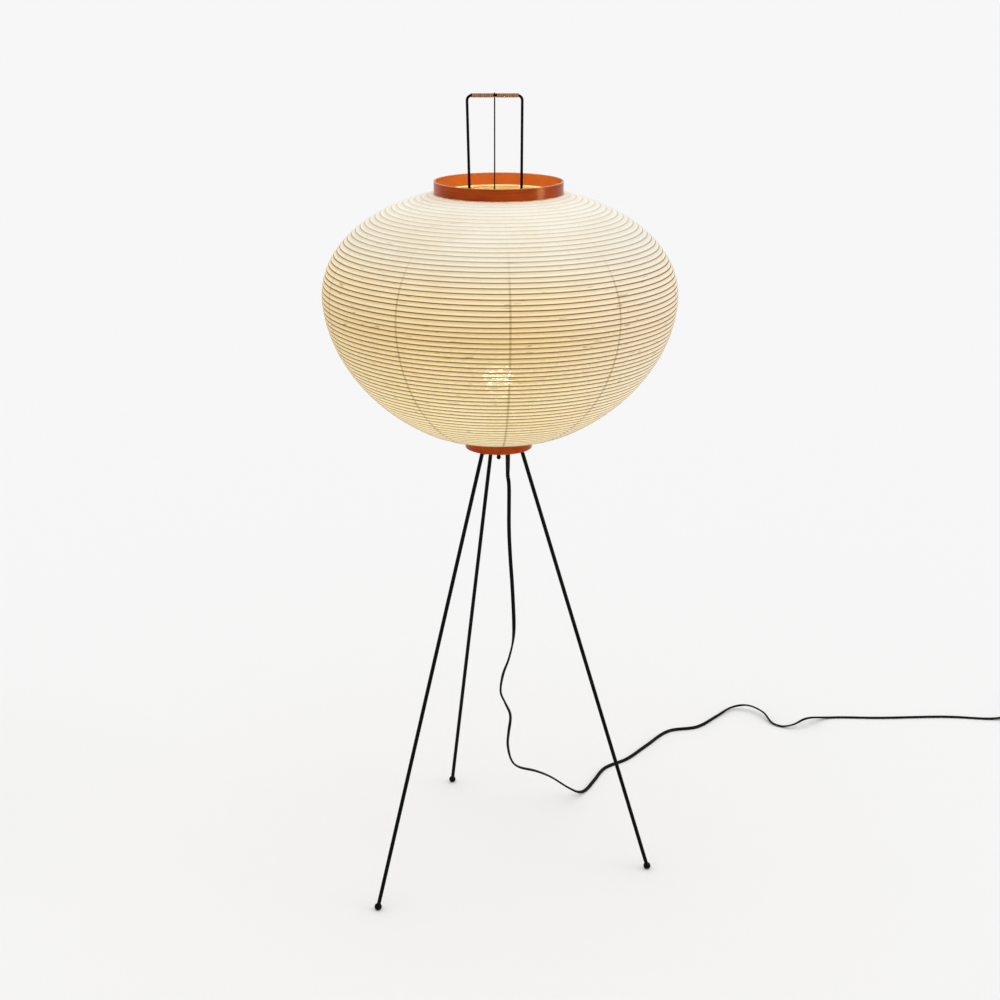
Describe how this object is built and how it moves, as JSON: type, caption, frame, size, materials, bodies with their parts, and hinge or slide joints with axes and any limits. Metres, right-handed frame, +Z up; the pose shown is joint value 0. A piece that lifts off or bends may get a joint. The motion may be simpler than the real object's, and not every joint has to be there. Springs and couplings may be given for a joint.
{
  "type": "paper lantern floor lamp",
  "caption": "Floor lamp with a ribbed paper lantern held on a wire bail over a tripod of thin black rods, with its lampholder, bulb, flat flex, foot switch and plug.",
  "frame": {"origin": "on the floor under the middle of the lantern", "axes": "+Z up, -Y towards the front of the lamp as pictured, +X to its right"},
  "size_m": [1.4194, 0.8564, 1.2233],
  "materials": {
    "black_steel": "satin black paint",
    "plated_steel": "zinc plated",
    "brass": "satin",
    "orange_bentwood": "thin wood bent to a ring and varnished orange",
    "paper": "handmade paper with long fibres",
    "bamboo": "split bamboo",
    "thread": "twisted cotton",
    "cane": "brown cane",
    "black_plastic": "moulded",
    "insulator": "white ceramic look",
    "flex": "flat black flex",
    "core": "thin insulated cores",
    "bulb_glass": "opal"
  },
  "bodies": {
    "lamp": {"leg_front_left": "black_steel", "leg_front_right": "black_steel", "leg_back": "black_steel", "foot_front_left": "black_steel", "foot_front_right": "black_steel", "foot_back": "black_steel", "leg_socket_front_left": "black_steel", "leg_socket_front_right": "black_steel", "leg_socket_back": "black_steel", "leg_grub_screws": "plated_steel", "hub_plate": "black_steel", "centre_bolt": "black_steel", "centre_nut": "black_steel", "cord_bushing": "black_plastic", "bail_frame": "black_steel", "bail_sockets": "black_steel", "cane_wrap_left": "cane", "cane_wrap_right": "cane", "bottom_ring": "orange_bentwood", "bottom_strap": "plated_steel", "bottom_strap_screws": "plated_steel", "paper_shade": "paper", "bamboo_ribs": "bamboo", "rib_threads": "thread", "holder_bracket": "plated_steel", "holder_nipple": "brass", "holder_nut": "plated_steel", "holder_base": "black_plastic", "holder_insert": "insulator", "holder_shell": "black_plastic", "contact_sleeve": "brass", "centre_contact": "brass", "inner_leads": "core", "cord_run": "flex", "cord_coil": "flex", "coil_ties": "black_plastic", "switch_base": "black_plastic", "switch_cover": "black_plastic", "switch_spring": "plated_steel", "switch_screws": "plated_steel", "plug_body": "black_plastic", "plug_pins": "brass"},
    "shade_top": {"top_ring": "orange_bentwood", "top_strap": "plated_steel", "top_strap_screws": "plated_steel"},
    "hanger": {"tension_wire": "black_steel"},
    "bulb": {"bulb_glass": "bulb_glass", "bulb_cap": "plated_steel", "bulb_tip": "brass"},
    "button": {"switch_button": "black_plastic"}
  },
  "joints": [
    {"name": "shade_lower", "type": "slide", "parent": "lamp", "child": "shade_top", "axis": [0, 0, 1], "range_m": [-0.21, 0], "deforming": ["paper_shade", "bamboo_ribs", "rib_threads"]},
    {"name": "wire_swing", "type": "hinge", "parent": "lamp", "child": "hanger", "pos_m": [-0.0058, 0, 1.219], "axis": [-1, 0, 0], "range_deg": [0, 30]},
    {"name": "bulb_turn", "type": "hinge", "parent": "lamp", "child": "bulb", "pos_m": [0, 0, 0.75], "axis": [0, 0, 1], "range_deg": [0, 180]},
    {"name": "switch_press", "type": "slide", "parent": "lamp", "child": "button", "axis": [0, 0, -1], "range_m": [0, 0.003], "stiffness_N_per_m": 700, "deforming": ["switch_spring"]}
  ]
}
